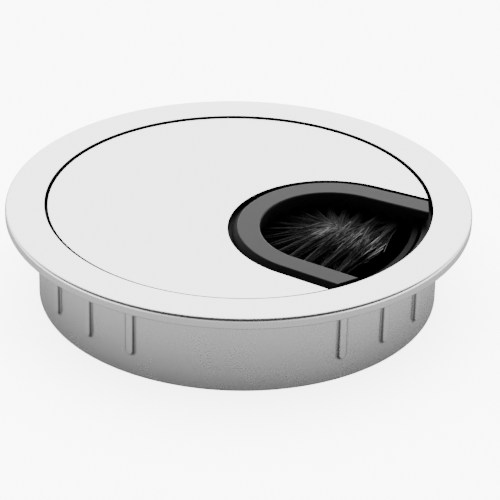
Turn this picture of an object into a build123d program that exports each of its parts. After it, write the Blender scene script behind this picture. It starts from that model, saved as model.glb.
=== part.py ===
from build123d import *

import os
from math import cos, radians, sin, sqrt

os.makedirs("parts", exist_ok=True)

# A round cable grommet for a hole in a desk top: a cast sleeve with a flange, a flat lid that turns
# and lifts out, and a brush insert in the lid's U-shaped cut-out.
# Millimetres. The origin is at the centre of the sleeve's bottom edge and +Z points up out of the desk.
# The lid's cut-out opens towards outlet_azimuth.

# ---- sleeve -------------------------------------------------------------------------------------
total_height = 19.5
flange_overhang = 6.25
flange_thickness = 2.2
flange_edge_radius = 0.35
flange_under_bevel = 0.4
recess_wall = 1.45
barrel_draft = 0.15
barrel_wall = 1.9
barrel_lead_in = 0.5
barrel_lead_in_height = 1.0
ledge_width = 2.1
ledge_thickness = 1.8
ledge_gusset_height = 1.05
recess_edge = 0.1
rib_width = 2.1
rib_height = 0.5
rib_end_height = 4.6
rib_flange_bite = 0.5
rib_groups = 4
ribs_per_group = 3
rib_pitch_degrees = 15.0
first_rib_group_degrees = 45.0

# ---- lid and the ring that it turns on ----------------------------------------------------------
cover_radius = 37.7
cover_thickness = 2.2
cover_sink = 0.3
cover_edge = 0.1
cover_gap = 0.6
tongue_thickness = 1.0
tongue_width = 1.7
skirt_wall = 1.5
skirt_depth = 2.6
skirt_gap = 0.3
guide_wall = 1.5
guide_gap = 0.3
glide_thickness = 0.6
glide_clearance = 0.2

# ---- cut-out ------------------------------------------------------------------------------------
outlet_azimuth = -29.0
outlet_centre = 21.1
outlet_radius = 20.6
outlet_flare = 3.0
outline_overrun = 5.0

# ---- brush insert -------------------------------------------------------------------------------
insert_gap = 0.9
insert_rise = 0.5
insert_flare = 3.4
insert_edge_bevel = 1.1
insert_rim_gap = 0.3
well_flare = 3.0
well_edge_radius = 0.4
groove_clearance = 0.12
groove_depth_clearance = 0.2
groove_wall = 1.4
insert_flange_width = 4.1
insert_flange_thickness = 3.4
rim_bar_width = 1.2
rim_bar_gap = 0.3
rim_bar_height = 1.8
strip_wall = 3.0
strip_clearance = 0.05
retainer_thickness = 1.2
retainer_inset = 0.2
peg_radius = 0.9
peg_clearance = 0.1
peg_head_radius = 1.6
peg_head_thickness = 0.5
peg_head_taper_degrees = 25.0
peg_end_margin = 6.0
pegs_per_side = 2

# ---- bristle bunches ----------------------------------------------------------------------------
tuft_radius = 1.0
tuft_tip_radius = 0.42
tuft_clearance = 0.05
tufts_per_side = 8
tuft_end_margin = 2.7
tuft_hole_depth = 2.4
tuft_rise_degrees = 9.0
tuft_drop = 1.75
tuft_tip_gap = 0.173
tuft_axis_gap = 0.9
anchor_thickness = 0.35
anchor_length = 1.3
anchor_bite = 0.1
anchor_slot_clearance = 0.05

# two edges closer than this share an end
same_place = 0.01

# ---- heights that follow -------------------------------------------------------------------------
cover_top = total_height - cover_sink
cover_bottom = cover_top - cover_thickness
tongue_top = cover_bottom + tongue_thickness
ledge_top = cover_bottom - glide_thickness
ledge_bottom = ledge_top - ledge_thickness
flange_bottom = total_height - flange_thickness
insert_top = cover_top + insert_rise
band_bottom = tongue_top + groove_clearance
insert_flange_top = cover_bottom - groove_clearance
retainer_top = insert_flange_top - insert_flange_thickness + retainer_thickness
retainer_bottom = retainer_top - retainer_thickness
rim_bar_top = retainer_top + rim_bar_height
strip_bottom = retainer_top + strip_clearance
strip_top = band_bottom - strip_clearance
tuft_height = strip_top - tuft_drop

# ---- radii that follow ---------------------------------------------------------------------------
recess_radius = cover_radius + cover_gap
ledge_radius = recess_radius - ledge_width
barrel_radius = recess_radius + recess_wall
flange_radius = barrel_radius + flange_overhang
pilot_radius = barrel_radius - barrel_draft
barrel_bore_radius = pilot_radius - barrel_wall
skirt_radius = ledge_radius - skirt_gap
insert_radius = outlet_radius - insert_gap
insert_rim_radius = cover_radius - insert_rim_gap
tongue_edge_radius = outlet_radius - tongue_width
groove_radius = tongue_edge_radius - groove_depth_clearance
insert_flange_radius = groove_radius + insert_flange_width
insert_flange_rim_radius = skirt_radius - rim_bar_gap
rim_bar_inner_radius = insert_flange_rim_radius - rim_bar_width
pocket_radius = groove_radius - groove_wall
well_radius = pocket_radius - strip_clearance - strip_wall
guide_radius = insert_flange_radius + guide_gap
peg_ring_radius = (pocket_radius + insert_flange_radius) / 2
tuft_hole_radius = tuft_radius + tuft_clearance
anchor_span = 2 * (tuft_hole_radius + anchor_bite)
outline_reach = cover_radius + outline_overrun


def outlet_plane(height):
    """A level plane whose x direction runs along the cut-out, from the lid's centre to the rim."""
    heading = radians(outlet_azimuth)
    return Plane(origin=(0, 0, height), x_dir=(cos(heading), sin(heading), 0), z_dir=(0, 0, 1))


def outline(radius, flare):
    """A flat U: a round end about the cut-out's centre and two arms that run out past the rim.

    The arms leave the round end as tangents and open by flare degrees each.
    """
    lean = radians(flare)
    start_x = outlet_centre - radius * sin(lean)
    start_y = radius * cos(lean)
    end_y = start_y + (outline_reach - start_x) * sin(lean) / cos(lean)
    with BuildSketch() as flat:
        with BuildLine():
            ThreePointArc((start_x, start_y), (outlet_centre - radius, 0), (start_x, -start_y))
            Polyline(
                (start_x, -start_y),
                (outline_reach, -end_y),
                (outline_reach, end_y),
                (start_x, start_y),
            )
        make_face()
    return flat.sketch


def well_outline():
    """The flat opening of the insert below its band, which the bar at the rim closes."""
    with BuildSketch() as flat:
        add(outline(well_radius, well_flare))
        Circle(rim_bar_inner_radius, mode=Mode.INTERSECT)
    return flat.sketch


def path_point(radius, distance, flare):
    """A point of a U-shaped path and the direction from it into the U.

    The distance is measured along the path from the middle of its round end, positive on the left
    of the cut-out's direction. Returns x, y and the direction's x and y, in the outlet's plane.
    """
    side = 1 if distance >= 0 else -1
    lean = radians(flare)
    round_length = radius * (radians(90) - lean)
    along = abs(distance)
    turn = radians(180) - min(along, round_length) / radius
    past = max(along - round_length, 0)
    x = outlet_centre + radius * cos(turn) + past * cos(lean)
    y = radius * sin(turn) + past * sin(lean)
    return x, side * y, -cos(turn), -side * sin(turn)


def path_length(radius, flare, rim_radius):
    """Length of half a U-shaped path, from the middle of its round end out to a rim."""
    lean = radians(flare)
    start_x = outlet_centre - radius * sin(lean)
    start_y = radius * cos(lean)
    start_along = start_x * cos(lean) + start_y * sin(lean)
    offset = start_y * cos(lean) - start_x * sin(lean)
    return radius * (radians(90) - lean) + sqrt(rim_radius**2 - offset**2) - start_along


# ---- places along the U ----------------------------------------------------------------------------
strip_rim_radius = rim_bar_inner_radius - strip_clearance
tuft_path_length = path_length(well_radius, well_flare, strip_rim_radius)
tuft_pitch = (tuft_path_length - tuft_end_margin) / tufts_per_side
# bunches of the round end lie on spokes, so their tips stop where they are still a gap apart
tuft_centre_gap = (2 * tuft_tip_radius + tuft_tip_gap) * well_radius / tuft_pitch
peg_path_length = path_length(peg_ring_radius, outlet_flare, insert_flange_rim_radius)
peg_pitch = (peg_path_length - peg_end_margin) / pegs_per_side
peg_points = []
for side in (-1, 1):
    for place in range(pegs_per_side):
        peg_x, peg_y, _, _ = path_point(
            peg_ring_radius, side * (place + 0.5) * peg_pitch, outlet_flare
        )
        peg_points.append((peg_x, peg_y))

# ---- sleeve: flange, barrel, ledge and grip ribs -------------------------------------------------
with BuildPart() as sleeve:
    with BuildSketch(Plane.XZ):
        with BuildLine():
            Polyline(
                (barrel_bore_radius, 0),
                (pilot_radius - barrel_lead_in, 0),
                (pilot_radius, barrel_lead_in_height),
                (pilot_radius, rib_end_height),
                (barrel_radius, flange_bottom),
                (flange_radius - flange_under_bevel, flange_bottom),
                (flange_radius, flange_bottom + flange_under_bevel),
                (flange_radius, total_height),
                (recess_radius, total_height),
                (recess_radius, ledge_top),
                (ledge_radius, ledge_top),
                (ledge_radius, ledge_bottom),
                (barrel_bore_radius, ledge_bottom - ledge_gusset_height),
                (barrel_bore_radius, 0),
            )
        make_face()
    revolve(axis=Axis.Z)
    top_rims = sleeve.edges().filter_by(GeomType.CIRCLE).group_by(Axis.Z)[-1].sort_by(SortBy.RADIUS)
    fillet(top_rims[-1], flange_edge_radius)
    chamfer(
        sleeve.edges().filter_by(GeomType.CIRCLE).group_by(Axis.Z)[-1].sort_by(SortBy.RADIUS)[0],
        recess_edge,
    )
    for group in range(rib_groups):
        for place in range(ribs_per_group):
            step = place - (ribs_per_group - 1) / 2
            heading = radians(
                first_rib_group_degrees + group * 360 / rib_groups + step * rib_pitch_degrees
            )
            root_radius = pilot_radius - barrel_wall / 2
            rib_plane = Plane(
                origin=(root_radius * cos(heading), root_radius * sin(heading), rib_end_height),
                x_dir=(-sin(heading), cos(heading), 0),
                z_dir=(cos(heading), sin(heading), 0),
            )
            rib_length = flange_bottom + rib_flange_bite - rib_end_height
            with BuildSketch(rib_plane):
                with BuildLine():
                    ThreePointArc(
                        (-rib_width / 2, rib_width / 2), (0, 0), (rib_width / 2, rib_width / 2)
                    )
                    Polyline(
                        (rib_width / 2, rib_width / 2),
                        (rib_width / 2, rib_length),
                        (-rib_width / 2, rib_length),
                        (-rib_width / 2, rib_width / 2),
                    )
                make_face()
            extrude(amount=barrel_radius + rib_height - root_radius)
sleeve.part.label = "sleeve"
export_step(sleeve.part, "parts/sleeve.step")

# ---- glide ring on the ledge ---------------------------------------------------------------------
with BuildPart() as glide_ring:
    with BuildSketch(Plane.XY.offset(ledge_top)):
        Circle(recess_radius - glide_clearance)
        Circle(ledge_radius + glide_clearance, mode=Mode.SUBTRACT)
    extrude(amount=glide_thickness)
glide_ring.part.label = "glide_ring"
export_step(glide_ring.part, "parts/glide_ring.step")

# ---- lid: disc with the cut-out, a tongue along its edge, and a skirt and guide below --------------
with BuildPart() as cover:
    with BuildSketch(Plane.XY.offset(cover_bottom)):
        Circle(cover_radius)
    extrude(amount=cover_thickness)
    chamfer(cover.edges().group_by(Axis.Z)[-1], cover_edge)
    with BuildSketch(Plane.XY.offset(cover_bottom)):
        Circle(skirt_radius)
        Circle(skirt_radius - skirt_wall, mode=Mode.SUBTRACT)
    extrude(amount=-skirt_depth)
    with BuildSketch(outlet_plane(cover_bottom)):
        add(outline(guide_radius + guide_wall, outlet_flare))
        Circle(skirt_radius - skirt_wall / 2, mode=Mode.INTERSECT)
    extrude(amount=-skirt_depth)
    with BuildSketch(outlet_plane(cover_bottom)):
        add(outline(guide_radius, outlet_flare))
    extrude(amount=-skirt_depth, mode=Mode.SUBTRACT)
    with BuildSketch(outlet_plane(cover_bottom)):
        add(outline(tongue_edge_radius, outlet_flare))
    extrude(amount=cover_thickness, mode=Mode.SUBTRACT)
    with BuildSketch(outlet_plane(tongue_top)):
        add(outline(outlet_radius, outlet_flare))
    extrude(amount=cover_thickness, mode=Mode.SUBTRACT)
cover.part.label = "cover"
export_step(cover.part, "parts/cover.step")

# ---- frame of the brush insert ---------------------------------------------------------------------
with BuildPart() as insert_frame:
    with BuildSketch(outlet_plane(band_bottom)):
        add(outline(insert_radius, insert_flare))
        Circle(insert_rim_radius, mode=Mode.INTERSECT)
        add(outline(well_radius, well_flare), mode=Mode.SUBTRACT)
    extrude(amount=insert_top - band_bottom)
    band_rims = insert_frame.edges().group_by(Axis.Z)[-1]
    outer_round = band_rims.filter_by(GeomType.CIRCLE).filter_by(
        lambda edge: abs(edge.radius - insert_radius) < same_place
    )
    inner_round = band_rims.filter_by(GeomType.CIRCLE).filter_by(
        lambda edge: abs(edge.radius - well_radius) < same_place
    )
    arms = band_rims.filter_by(GeomType.LINE)
    outer_arms = arms.filter_by(lambda edge: edge.distance_to(outer_round[0]) < same_place)
    inner_arms = arms.filter_by(lambda edge: edge.distance_to(inner_round[0]) < same_place)
    chamfer(outer_round + outer_arms, insert_edge_bevel)
    fillet(inner_round + inner_arms, well_edge_radius)
    with BuildSketch(outlet_plane(cover_bottom + groove_clearance)):
        add(outline(groove_radius, outlet_flare))
        Circle(insert_rim_radius, mode=Mode.INTERSECT)
        add(outline(pocket_radius, well_flare), mode=Mode.SUBTRACT)
    extrude(amount=band_bottom - cover_bottom - groove_clearance)
    with BuildSketch(outlet_plane(insert_flange_top)):
        add(outline(groove_radius, outlet_flare))
        Circle(insert_flange_rim_radius, mode=Mode.INTERSECT)
        add(outline(pocket_radius, well_flare), mode=Mode.SUBTRACT)
    extrude(amount=2 * groove_clearance)
    with BuildSketch(outlet_plane(retainer_top)):
        add(outline(insert_flange_radius, outlet_flare))
        Circle(insert_flange_rim_radius, mode=Mode.INTERSECT)
        add(outline(pocket_radius, well_flare), mode=Mode.SUBTRACT)
    extrude(amount=insert_flange_top - retainer_top)
    with BuildSketch(outlet_plane(retainer_top)):
        add(outline(insert_flange_radius, outlet_flare))
        Circle(insert_flange_rim_radius, mode=Mode.INTERSECT)
        Circle(rim_bar_inner_radius, mode=Mode.SUBTRACT)
    extrude(amount=rim_bar_height)
    with BuildSketch(outlet_plane(retainer_top)):
        with Locations(*peg_points):
            Circle(peg_radius)
    extrude(amount=-retainer_thickness)
    with BuildSketch(outlet_plane(retainer_bottom)):
        with Locations(*peg_points):
            Circle(peg_head_radius)
    extrude(amount=-peg_head_thickness, taper=peg_head_taper_degrees)
insert_frame.part.label = "insert_frame"
export_step(insert_frame.part, "parts/insert_frame.step")

# ---- plate that closes the frame from below --------------------------------------------------------
with BuildPart() as retainer_plate:
    with BuildSketch(outlet_plane(retainer_bottom)):
        add(outline(insert_flange_radius - retainer_inset, outlet_flare))
        Circle(insert_flange_rim_radius, mode=Mode.INTERSECT)
        add(well_outline(), mode=Mode.SUBTRACT)
    extrude(amount=retainer_thickness)
    with BuildSketch(outlet_plane(retainer_bottom)):
        with Locations(*peg_points):
            Circle(peg_radius + peg_clearance)
    extrude(amount=retainer_thickness, mode=Mode.SUBTRACT)
retainer_plate.part.label = "retainer_plate"
export_step(retainer_plate.part, "parts/retainer_plate.step")

# ---- bristle bunches: where each one stands --------------------------------------------------------
tuft_planes = []
tuft_lengths = []
for number in range(-tufts_per_side, tufts_per_side + 1):
    distance = number * tuft_pitch
    root_x, root_y, into_x, into_y = path_point(well_radius, distance, well_flare)
    if abs(distance) > well_radius * radians(90 - well_flare):
        reach = abs(root_y) - tuft_axis_gap
    else:
        reach = well_radius - tuft_centre_gap
    rise = radians(tuft_rise_degrees)
    local = outlet_plane(tuft_height)
    origin = local.from_local_coords(Vector(root_x, root_y, 0))
    ahead = local.from_local_coords(Vector(root_x + into_x, root_y + into_y, 0)) - origin
    across = Vector(-ahead.Y, ahead.X, 0)
    heading_up = ahead * cos(rise) + Vector(0, 0, sin(rise))
    tuft_planes.append(Plane(origin=origin, x_dir=across, z_dir=heading_up))
    tuft_lengths.append(reach / cos(rise))

# ---- strip that holds the bunches ------------------------------------------------------------------
with BuildPart() as brush_strip:
    with BuildSketch(outlet_plane(strip_bottom)):
        add(outline(pocket_radius - strip_clearance, well_flare))
        Circle(strip_rim_radius, mode=Mode.INTERSECT)
        add(outline(well_radius, well_flare), mode=Mode.SUBTRACT)
    extrude(amount=strip_top - strip_bottom)
    for plane in tuft_planes:
        with BuildSketch(plane.offset(tuft_radius)):
            Circle(tuft_hole_radius)
        extrude(amount=-tuft_hole_depth - tuft_radius, mode=Mode.SUBTRACT)
brush_strip.part.label = "brush_strip"
export_step(brush_strip.part, "parts/brush_strip.step")

# ---- metal plates that pin the bunches into their holes ----------------------------------------------
with BuildPart() as tuft_anchors:
    for plane in tuft_planes:
        with BuildSketch(plane.offset(-tuft_hole_depth)):
            Rectangle(anchor_span, anchor_thickness)
        extrude(amount=anchor_length)
tuft_anchors.part.label = "tuft_anchors"
export_step(tuft_anchors.part, "parts/tuft_anchors.step")

# ---- the bunches themselves ------------------------------------------------------------------------
for number, (plane, length) in enumerate(zip(tuft_planes, tuft_lengths), start=1):
    with BuildPart() as tuft:
        with BuildSketch(plane):
            Circle(tuft_radius)
        with BuildSketch(plane.offset(length)):
            Circle(tuft_tip_radius)
        loft()
        with BuildSketch(plane):
            Circle(tuft_radius)
        extrude(amount=-tuft_hole_depth)
        with BuildSketch(plane.offset(-tuft_hole_depth)):
            Rectangle(anchor_span, anchor_thickness + 2 * anchor_slot_clearance)
        extrude(amount=anchor_length + anchor_slot_clearance, mode=Mode.SUBTRACT)
    name = f"tuft_{number:02d}"
    tuft.part.label = name
    export_step(tuft.part, f"parts/{name}.step")
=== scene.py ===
"""Looks of a round cable grommet for a desk top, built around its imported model.

The cast sleeve, the lid, the frame of the brush insert and the bristle bunches get smooth skins that
are worked out as arrays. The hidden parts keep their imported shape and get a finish. Sizes in the
classes are millimetres, and a mesh is turned into metres when it is made.
"""

import logging
import math
from dataclasses import dataclass, field
from enum import Enum
from typing import Any

import bmesh
import bpy
import numpy as np
from mathutils import Matrix, Vector


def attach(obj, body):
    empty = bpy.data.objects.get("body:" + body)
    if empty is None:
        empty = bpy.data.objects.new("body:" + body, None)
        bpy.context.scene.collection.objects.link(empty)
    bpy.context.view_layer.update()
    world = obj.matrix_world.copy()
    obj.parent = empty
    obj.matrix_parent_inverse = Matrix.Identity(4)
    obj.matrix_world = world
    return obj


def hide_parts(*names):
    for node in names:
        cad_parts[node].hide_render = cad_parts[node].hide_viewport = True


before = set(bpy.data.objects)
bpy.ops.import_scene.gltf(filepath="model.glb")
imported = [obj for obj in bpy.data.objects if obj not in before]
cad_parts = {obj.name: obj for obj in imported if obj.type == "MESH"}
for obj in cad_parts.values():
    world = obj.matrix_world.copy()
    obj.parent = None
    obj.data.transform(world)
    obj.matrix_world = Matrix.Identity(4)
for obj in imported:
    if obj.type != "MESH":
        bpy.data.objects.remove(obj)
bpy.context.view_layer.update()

MM = 0.001

# Millimetres within which two points are one point, and two radii or heights are the same.
MERGE = 0.0005
TOUCH = 0.01

# Places of the Mix node's sockets when it mixes colours.
MIX_SHARE = 0
MIX_LOW = 6
MIX_HIGH = 7
MIX_COLOUR = 2

Colour = tuple[float, float, float]

# Points, four-sided faces, and other flat faces such as end caps.
Shell = tuple[np.ndarray, np.ndarray, list[list[int]]]

log = logging.getLogger("grommet")


class Slot(Enum):
    """The record's material slots of the pieces that are made here."""

    METAL = "plated_zinc"
    GLIDE = "black_acetal"
    FRAME = "black_abs"
    STRIP = "black_pp"
    BRISTLE = "black_nylon"


# ---- shader nodes ------------------------------------------------------------------------------


class Wire:
    """An output socket that can be used in Python sums; each operation adds one Math node."""

    def __init__(self, shader: "Shader", socket: bpy.types.NodeSocket) -> None:
        """Keeps the shader and the socket."""
        self.shader = shader
        self.socket = socket

    def _maths(self, operation: str, *values: Any) -> "Wire":
        """Adds a Math node for an operation on the values."""
        return self.shader.node("ShaderNodeMath", {"operation": operation}, dict(enumerate(values)))

    def __add__(self, other: Any) -> "Wire":
        """Sum."""
        return self._maths("ADD", self, other)

    __radd__ = __add__

    def __sub__(self, other: Any) -> "Wire":
        """Difference."""
        return self._maths("SUBTRACT", self, other)

    def __rsub__(self, other: Any) -> "Wire":
        """Difference with the wire on the right."""
        return self._maths("SUBTRACT", other, self)

    def __mul__(self, other: Any) -> "Wire":
        """Product."""
        return self._maths("MULTIPLY", self, other)

    __rmul__ = __mul__

    def __pow__(self, other: Any) -> "Wire":
        """Power."""
        return self._maths("POWER", self, other)


class Shader:
    """The node tree of one material, with a principled surface."""

    def __init__(self, name: str) -> None:
        """Starts an empty material with a surface and an output.

        Args:
            name: The material's name.
        """
        self.material = bpy.data.materials.new(name)
        self.material.use_nodes = True
        self.tree = self.material.node_tree
        self.tree.nodes.clear()
        self.surface = self.tree.nodes.new("ShaderNodeBsdfPrincipled")
        output = self.tree.nodes.new("ShaderNodeOutputMaterial")
        self.tree.links.new(self.surface.outputs[0], output.inputs["Surface"])

    def node(
        self,
        kind: str,
        settings: dict[str, Any] | None = None,
        values: dict[str | int, Any] | None = None,
        out: str | int = 0,
    ) -> Wire:
        """Adds one node.

        Args:
            kind: The node's type.
            settings: The node's own settings, set first. The key "stops" holds a ramp's stops.
            values: What each input socket gets, by name or place: a value or a wire.
            out: The output socket to return.

        Returns:
            The chosen output.
        """
        made = self.tree.nodes.new(kind)
        for key, value in (settings or {}).items():
            if key == "stops":
                self._set_stops(made.color_ramp, value)
            else:
                setattr(made, key, value)
        for key, value in (values or {}).items():
            self._feed(made.inputs[key], value)
        return Wire(self, made.outputs[out])

    @staticmethod
    def _set_stops(ramp: bpy.types.ColorRamp, stops: list[tuple[float, float]]) -> None:
        """Sets a grey ramp's stops.

        Args:
            ramp: The ramp.
            stops: Place and grey level of each stop.
        """
        while len(ramp.elements) < len(stops):
            ramp.elements.new(1.0)
        for element, (place, grey) in zip(ramp.elements, stops):
            element.position = place
            element.color = (grey, grey, grey, 1.0)

    def _feed(self, socket: bpy.types.NodeSocket, value: Any) -> None:
        """Links a wire to a socket, or sets the socket's value.

        Args:
            socket: The input socket.
            value: A wire or a plain value.
        """
        if isinstance(value, Wire):
            self.tree.links.new(value.socket, socket)
        else:
            socket.default_value = value

    def place(self) -> Wire:
        """The point on the piece, in its own coordinates."""
        return self.node("ShaderNodeTexCoord", out="Object")

    def noise(self, grain: float, detail: float = 3.0, at: Wire | None = None) -> Wire:
        """A cloudy pattern from 0 to 1.

        Args:
            grain: The size of one lump, in millimetres.
            detail: How many finer layers it has.
            at: The place to read it at, or the piece's own coordinates.

        Returns:
            The pattern's value.
        """
        values = {"Vector": at or self.place(), "Scale": 1.0 / (grain * MM), "Detail": detail}
        return self.node("ShaderNodeTexNoise", {"noise_dimensions": "3D"}, values)

    def tint(self, share: Any, low: Wire | Colour, high: Wire | Colour) -> Wire:
        """A colour between two colours.

        Args:
            share: 0 gives the low colour and 1 the high one.
            low: The low colour, as red, green and blue or as a wire.
            high: The high colour, in the same way.

        Returns:
            The mixed colour.
        """
        settings = {"data_type": "RGBA", "clamp_factor": True}
        start, end = (part if isinstance(part, Wire) else (*part, 1.0) for part in (low, high))
        values = {MIX_SHARE: share, MIX_LOW: start, MIX_HIGH: end}
        return self.node("ShaderNodeMix", settings, values, out=MIX_COLOUR)

    def bump(self, height: Wire, depth: float, strength: float = 1.0) -> None:
        """Raises the surface by a height pattern.

        Args:
            height: The pattern, from 0 to 1.
            depth: What 1 stands for, in millimetres.
            strength: How much of it shows.
        """
        values = {"Strength": strength, "Distance": depth * MM, "Height": height}
        self.set("Normal", self.node("ShaderNodeBump", None, values))

    def set(self, name: str, value: Any) -> None:
        """Sets or links one input of the surface."""
        self._feed(self.surface.inputs[name], value)


# ---- finishes ------------------------------------------------------------------------------------


@dataclass(frozen=True)
class PlatedMetal:
    """Zinc casting under a satin plating: pale, soft reflections, a very fine blasted grain."""

    name: str = "satin_plating"
    pale: Colour = (0.83, 0.83, 0.835)
    deep: Colour = (0.77, 0.775, 0.785)
    # Near-black colour of the painted shade on the ribs' walls, along their outlines and in the corner
    # under the flange.
    painted_shade: Colour = (0.09, 0.09, 0.095)
    painted_shade_mark_depth: float = 0.9
    roughness: float = 0.27
    roughness_swing: float = 0.06
    cloud_share: float = 0.6
    grain: float = 0.22
    grain_depth: float = 0.0015
    cloud: float = 14.0

    def material(self) -> bpy.types.Material:
        """Builds the plating.

        Returns:
            The material.
        """
        shader = Shader(self.name)
        cloud = shader.noise(self.cloud, 4.0)
        grain = shader.noise(self.grain, 2.0)
        # Painted shade: the sleeve's mark darkens the plating towards the near-black colour.
        painted_shade_mark = shader.node("ShaderNodeAttribute", {"attribute_name": "painted_shade_mark"}, out="Fac")
        unshaded = shader.tint(cloud, self.deep, self.pale)
        uneven = cloud * self.cloud_share + grain * (1 - self.cloud_share) - 0.5
        shader.set("Metallic", 1.0)
        shader.set("Base Color", shader.tint(painted_shade_mark * self.painted_shade_mark_depth, unshaded, self.painted_shade))
        shader.set("Roughness", self.roughness + uneven * self.roughness_swing)
        shader.bump(grain, self.grain_depth)
        return shader.material


@dataclass(frozen=True)
class MouldedPlastic:
    """Injection-moulded plastic with a fine etched skin and faint flow clouds."""

    name: str
    pale: Colour
    deep: Colour
    roughness: float
    gloss: float
    roughness_swing: float = 0.08
    cloud_share: float = 0.6
    grain: float = 0.16
    grain_depth: float = 0.012
    cloud: float = 6.0

    def material(self) -> bpy.types.Material:
        """Builds the plastic.

        Returns:
            The material.
        """
        shader = Shader(self.name)
        cloud = shader.noise(self.cloud, 3.0)
        etched = shader.noise(self.grain, 2.0)
        shader.set("Specular IOR Level", self.gloss)
        mottle = cloud * self.cloud_share + etched * (1 - self.cloud_share)
        shader.set("Base Color", shader.tint(mottle, self.deep, self.pale))
        uneven = etched * 0.5 + cloud * 0.5 - 0.5
        shader.set("Roughness", self.roughness + uneven * self.roughness_swing)
        shader.bump(etched, self.grain_depth)
        return shader.material


@dataclass(frozen=True)
class DrawnWire:
    """Cut strips of drawn wire: dull metal with lengthwise lines."""

    name: str = "drawn_wire"
    pale: Colour = (0.52, 0.50, 0.46)
    deep: Colour = (0.30, 0.29, 0.27)
    roughness: float = 0.42
    roughness_swing: float = 0.1
    grain: float = 0.09
    grain_depth: float = 0.006

    def material(self) -> bpy.types.Material:
        """Builds the wire.

        Returns:
            The material.
        """
        shader = Shader(self.name)
        lines = shader.noise(self.grain, 2.0)
        shader.set("Metallic", 1.0)
        shader.set("Base Color", shader.tint(lines, self.deep, self.pale))
        shader.set("Roughness", self.roughness + (lines - 0.5) * self.roughness_swing)
        shader.bump(lines, self.grain_depth)
        return shader.material


@dataclass(frozen=True)
class NylonFilament:
    """Glossy black bristle nylon: each filament has its own tone, with painted light added to it, and a
    painted highlight brightens its tip.
    """

    name: str = "nylon_filament"
    body: Colour = (0.0008, 0.0008, 0.0008)
    streak: Colour = (0.08, 0.08, 0.08)
    # Colour of the painted highlight at the filaments' tips.
    tip: Colour = (0.85, 0.85, 0.85)
    streak_power: float = 5.0
    tip_power: float = 2.0
    painted_glint_from: float = 0.72
    gloss: float = 0.05
    roughness: float = 0.30
    roughness_swing: float = 0.12
    tone_roughness: float = 0.08
    grain: float = 0.12
    grain_depth: float = 0.004

    def material(self) -> bpy.types.Material:
        """Builds the nylon.

        Returns:
            The material.
        """
        shader = Shader(self.name)
        along = shader.node("ShaderNodeAttribute", {"attribute_name": "along"}, out="Fac")
        tone_and_light = shader.node("ShaderNodeAttribute", {"attribute_name": "tone_and_light"}, out="Fac")
        # Painted highlight: over the last part of each filament the colour goes towards the pale tip
        # colour, more so for filaments with a bright tone.
        stops = [(self.painted_glint_from, 0.0), (1.0, 1.0)]
        painted_glint = shader.node("ShaderNodeValToRGB", {"stops": stops}, {"Fac": along})
        skin = shader.noise(self.grain, 2.0)
        strand = shader.tint(tone_and_light**self.streak_power, self.body, self.streak)
        rough = self.roughness + (skin - 0.5) * self.roughness_swing
        shader.set("Specular IOR Level", self.gloss)
        shader.set("Base Color", shader.tint(painted_glint * tone_and_light**self.tip_power, strand, self.tip))
        shader.set("Roughness", rough + tone_and_light * self.tone_roughness)
        shader.bump(skin, self.grain_depth)
        return shader.material


# ---- surfaces as arrays --------------------------------------------------------------------------


def grid_quads(rows: int, columns: int, wrap_rows: bool, wrap_columns: bool) -> np.ndarray:
    """Corner numbers of the faces of a grid of points.

    Point (row i, column j) has number i * columns + j. The face at (i, j) joins it to its
    neighbours in the next row and column; a wrapped direction joins its last line to its first.

    Args:
        rows: Number of rows.
        columns: Number of columns.
        wrap_rows: Whether the last row joins the first.
        wrap_columns: Whether the last column joins the first.

    Returns:
        One line of four corner numbers for each face.
    """
    i, j = np.meshgrid(
        np.arange(rows if wrap_rows else rows - 1),
        np.arange(columns if wrap_columns else columns - 1),
        indexing="ij",
    )
    below, beside = (i + 1) % rows, (j + 1) % columns
    corners = [i * columns + j, below * columns + j, below * columns + beside, i * columns + beside]
    return np.stack([c.ravel() for c in corners], axis=1)


def rounded(corners: list[tuple[float, float, float]], steps: int = 7, hold: float = 0.04) -> np.ndarray:
    """A closed outline in a plane with its corners rounded.

    A corner of radius r is cut back along both sides by r * tan(half the turn) and gets an arc
    about the point where the two offset sides meet. A point just before and just after each arc
    keeps the shading of the flat sides even.

    Args:
        corners: (first coordinate, second coordinate, radius) of each corner in order.
        steps: Divisions of each arc.
        hold: Distance of the extra points from the arc's ends.

    Returns:
        The outline's points, one line each.
    """
    plain = np.array([c[:2] for c in corners], float)
    made = []
    for number, (_, _, radius) in enumerate(corners):
        here = plain[number]
        back = plain[number - 1] - here
        ahead = plain[(number + 1) % len(plain)] - here
        back, ahead = back / np.linalg.norm(back), ahead / np.linalg.norm(ahead)
        if radius <= 0:
            made.append(here[None])
            continue
        half_turn = (math.pi - math.acos(float(np.clip(back @ ahead, -1, 1)))) / 2
        cut = radius * math.tan(half_turn)
        middle = here + (back + ahead) / np.linalg.norm(back + ahead) * radius / math.cos(half_turn)
        share = np.linspace(0, 1, steps + 1)[:, None]
        start, end = here + back * cut - middle, here + ahead * cut - middle
        swing = 2 * half_turn
        arc = (np.sin((1 - share) * swing) * start + np.sin(share * swing) * end) / math.sin(swing)
        made += [here[None] + back * (cut + hold), middle + arc, here[None] + ahead * (cut + hold)]
    return np.concatenate(made)


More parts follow.
